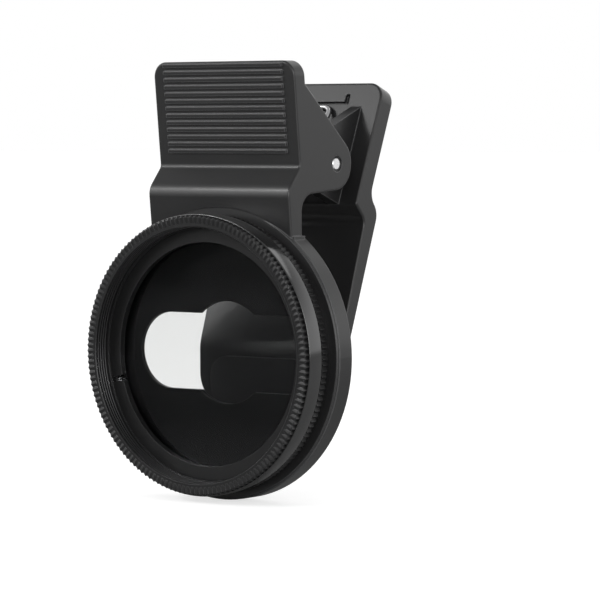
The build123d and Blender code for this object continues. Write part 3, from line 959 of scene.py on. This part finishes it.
class CLIPFILTER_OT_glass(bpy.types.Operator):
    """Finishes the glass discs and the polarizing foil between them"""

    bl_idname = "clipfilter.glass"
    bl_label = "Glass and foil"

    def execute(self, context):
        finishes = context.scene.filter_finishes
        clear = coated_glass("coated_glass", finishes.glass)
        foil = coated_glass("polarizing_foil", finishes.foil)
        for source, name, material, edge, slot in (
            ("front_glass", "front_lens", clear, GLASS_EDGE, "filter_glass"),
            ("polarizing_film", "foil_sheet", foil, FOIL_EDGE, "filter_foil"),
            ("rear_glass", "rear_lens", clear, GLASS_EDGE, "filter_glass"),
        ):
            piece = rounded_copy(source, name, edge, material, smooth_angle=8)
            low, high = (corner.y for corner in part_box(source))
            thinner = Matrix.Diagonal((1, 1 - GLUE_GAP / (high - low), 1, 1))
            middle = Vector((0, (low + high) / 2, 0))
            piece.data.transform(
                Matrix.Translation(middle) @ thinner @ Matrix.Translation(-middle)
            )
            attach(piece, CELL)
            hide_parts(source)
        return {"FINISHED"}


class CLIPFILTER_OT_steel(bpy.types.Operator):
    """Finishes the pivot pin and the snap ring"""

    bl_idname = "clipfilter.steel"
    bl_label = "Pin and snap ring"

    def execute(self, context):
        finishes = context.scene.filter_finishes
        cut_steel = bright_steel(finishes, "cut_steel", roughness=0.3, scratch_scale=6000)
        dress(("pivot_pin",), cut_steel)
        spring_wire = bright_steel(finishes, "spring_wire", roughness=0.22, scratch_scale=9000)
        dress(("snap_ring",), spring_wire)
        return {"FINISHED"}


class CLIPFILTER_OT_spring(bpy.types.Operator):
    """Winds the double torsion spring round the pin"""

    bl_idname = "clipfilter.spring"
    bl_label = "Torsion spring"

    def execute(self, context):
        sizes = context.scene.filter_sizes
        path = spring_path(sizes)
        carrier = mesh_object("wire_line", path, [(i, i + 1) for i in range(len(path) - 1)])
        tree, group_in, group_out = node_group("drawn_wire", [
            ("Wire Radius", "NodeSocketFloat", 0.0004),
            ("Wire Sides", "NodeSocketInt", WIRE_SIDES),
            ("Material", "NodeSocketMaterial", None),
        ])
        line = node(tree, "GeometryNodeMeshToCurve")
        profile = node(tree, "GeometryNodeCurvePrimitiveCircle")
        link = tree.links.new
        link(group_in.outputs["Geometry"], line.inputs["Mesh"])
        link(group_in.outputs["Wire Radius"], profile.inputs["Radius"])
        link(group_in.outputs["Wire Sides"], profile.inputs["Resolution"])
        sweep_group(tree, line.outputs[0], profile.outputs[0], group_in, group_out, caps=True)
        piece = run_group(carrier, tree, "spring_wire", {
            "Wire Radius": sizes.wire_radius,
            "Wire Sides": WIRE_SIDES,
            "Material": bpy.data.materials["spring_wire"],
        })
        smooth(piece, angle=50)
        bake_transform(piece)
        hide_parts("torsion_spring")
        return {"FINISHED"}


class CLIPFILTER_OT_pads(bpy.types.Operator):
    """Makes the soft pads with rounded edges"""

    bl_idname = "clipfilter.pads"
    bl_label = "Soft pads"

    def execute(self, context):
        rubber = soft_rubber(context.scene.filter_finishes)
        width = context.scene.filter_sizes.pad_edge
        for source, name, body in (
            ("front_pad", "front_pad_skin", CLIP),
            ("rear_pad", "rear_pad_skin", LEVER),
        ):
            piece = rounded_copy(source, name, width, rubber, smooth_angle=40)
            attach(piece, body)
            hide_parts(source)
        return {"FINISHED"}


class CLIPFILTER_OT_stage(bpy.types.Operator):
    """Sets the camera, the world, the floor and the lights"""

    bl_idname = "clipfilter.stage"
    bl_label = "Stage"

    def execute(self, context):
        scene, settings = context.scene, context.scene.filter_stage
        scene.view_settings.view_transform = "Standard"
        place_camera(scene, settings.lens)
        light_room(scene, settings)
        lay_floor(settings)
        hang_lights(settings)
        return {"FINISHED"}


# Panel, registration and the run


class CLIPFILTER_PT_panel(bpy.types.Panel):
    """Lists the steps that finish the filter"""

    bl_label = "Clip filter"
    bl_idname = "CLIPFILTER_PT_panel"
    bl_space_type = "VIEW_3D"
    bl_region_type = "UI"
    bl_category = "Clip filter"

    def draw(self, context):
        for operator in OPERATORS:
            self.layout.operator(operator.bl_idname)
        for group in ("filter_sizes", "filter_finishes", "filter_stage"):
            settings = getattr(context.scene, group)
            box = self.layout.box()
            for name in settings.bl_rna.properties.keys():
                if name not in ("rna_type", "name"):
                    box.prop(settings, name)


OPERATORS = (
    CLIPFILTER_OT_mouldings,
    CLIPFILTER_OT_rings,
    CLIPFILTER_OT_knurl_edge,
    CLIPFILTER_OT_plain_band,
    CLIPFILTER_OT_thread,
    CLIPFILTER_OT_glass,
    CLIPFILTER_OT_steel,
    CLIPFILTER_OT_spring,
    CLIPFILTER_OT_pads,
    CLIPFILTER_OT_stage,
)
CLASSES = (FilterSizes, FilterFinishes, StageSettings, *OPERATORS, CLIPFILTER_PT_panel)


def register():
    """Registers the classes and hangs their settings on the scene."""
    for item in CLASSES:
        bpy.utils.register_class(item)
    bpy.types.Scene.filter_sizes = PointerProperty(type=FilterSizes)
    bpy.types.Scene.filter_finishes = PointerProperty(type=FilterFinishes)
    bpy.types.Scene.filter_stage = PointerProperty(type=StageSettings)


def unregister():
    """Takes the settings and the classes away again."""
    del bpy.types.Scene.filter_stage
    del bpy.types.Scene.filter_finishes
    del bpy.types.Scene.filter_sizes
    for item in reversed(CLASSES):
        bpy.utils.unregister_class(item)


def main():
    """Makes every piece and the stage."""
    register()
    bpy.ops.clipfilter.mouldings()
    bpy.ops.clipfilter.rings()
    bpy.ops.clipfilter.knurl_edge()
    bpy.ops.clipfilter.plain_band()
    bpy.ops.clipfilter.thread()
    bpy.ops.clipfilter.glass()
    bpy.ops.clipfilter.steel()
    bpy.ops.clipfilter.spring()
    bpy.ops.clipfilter.pads()
    bpy.ops.clipfilter.stage()


if __name__ == "__main__":
    main()
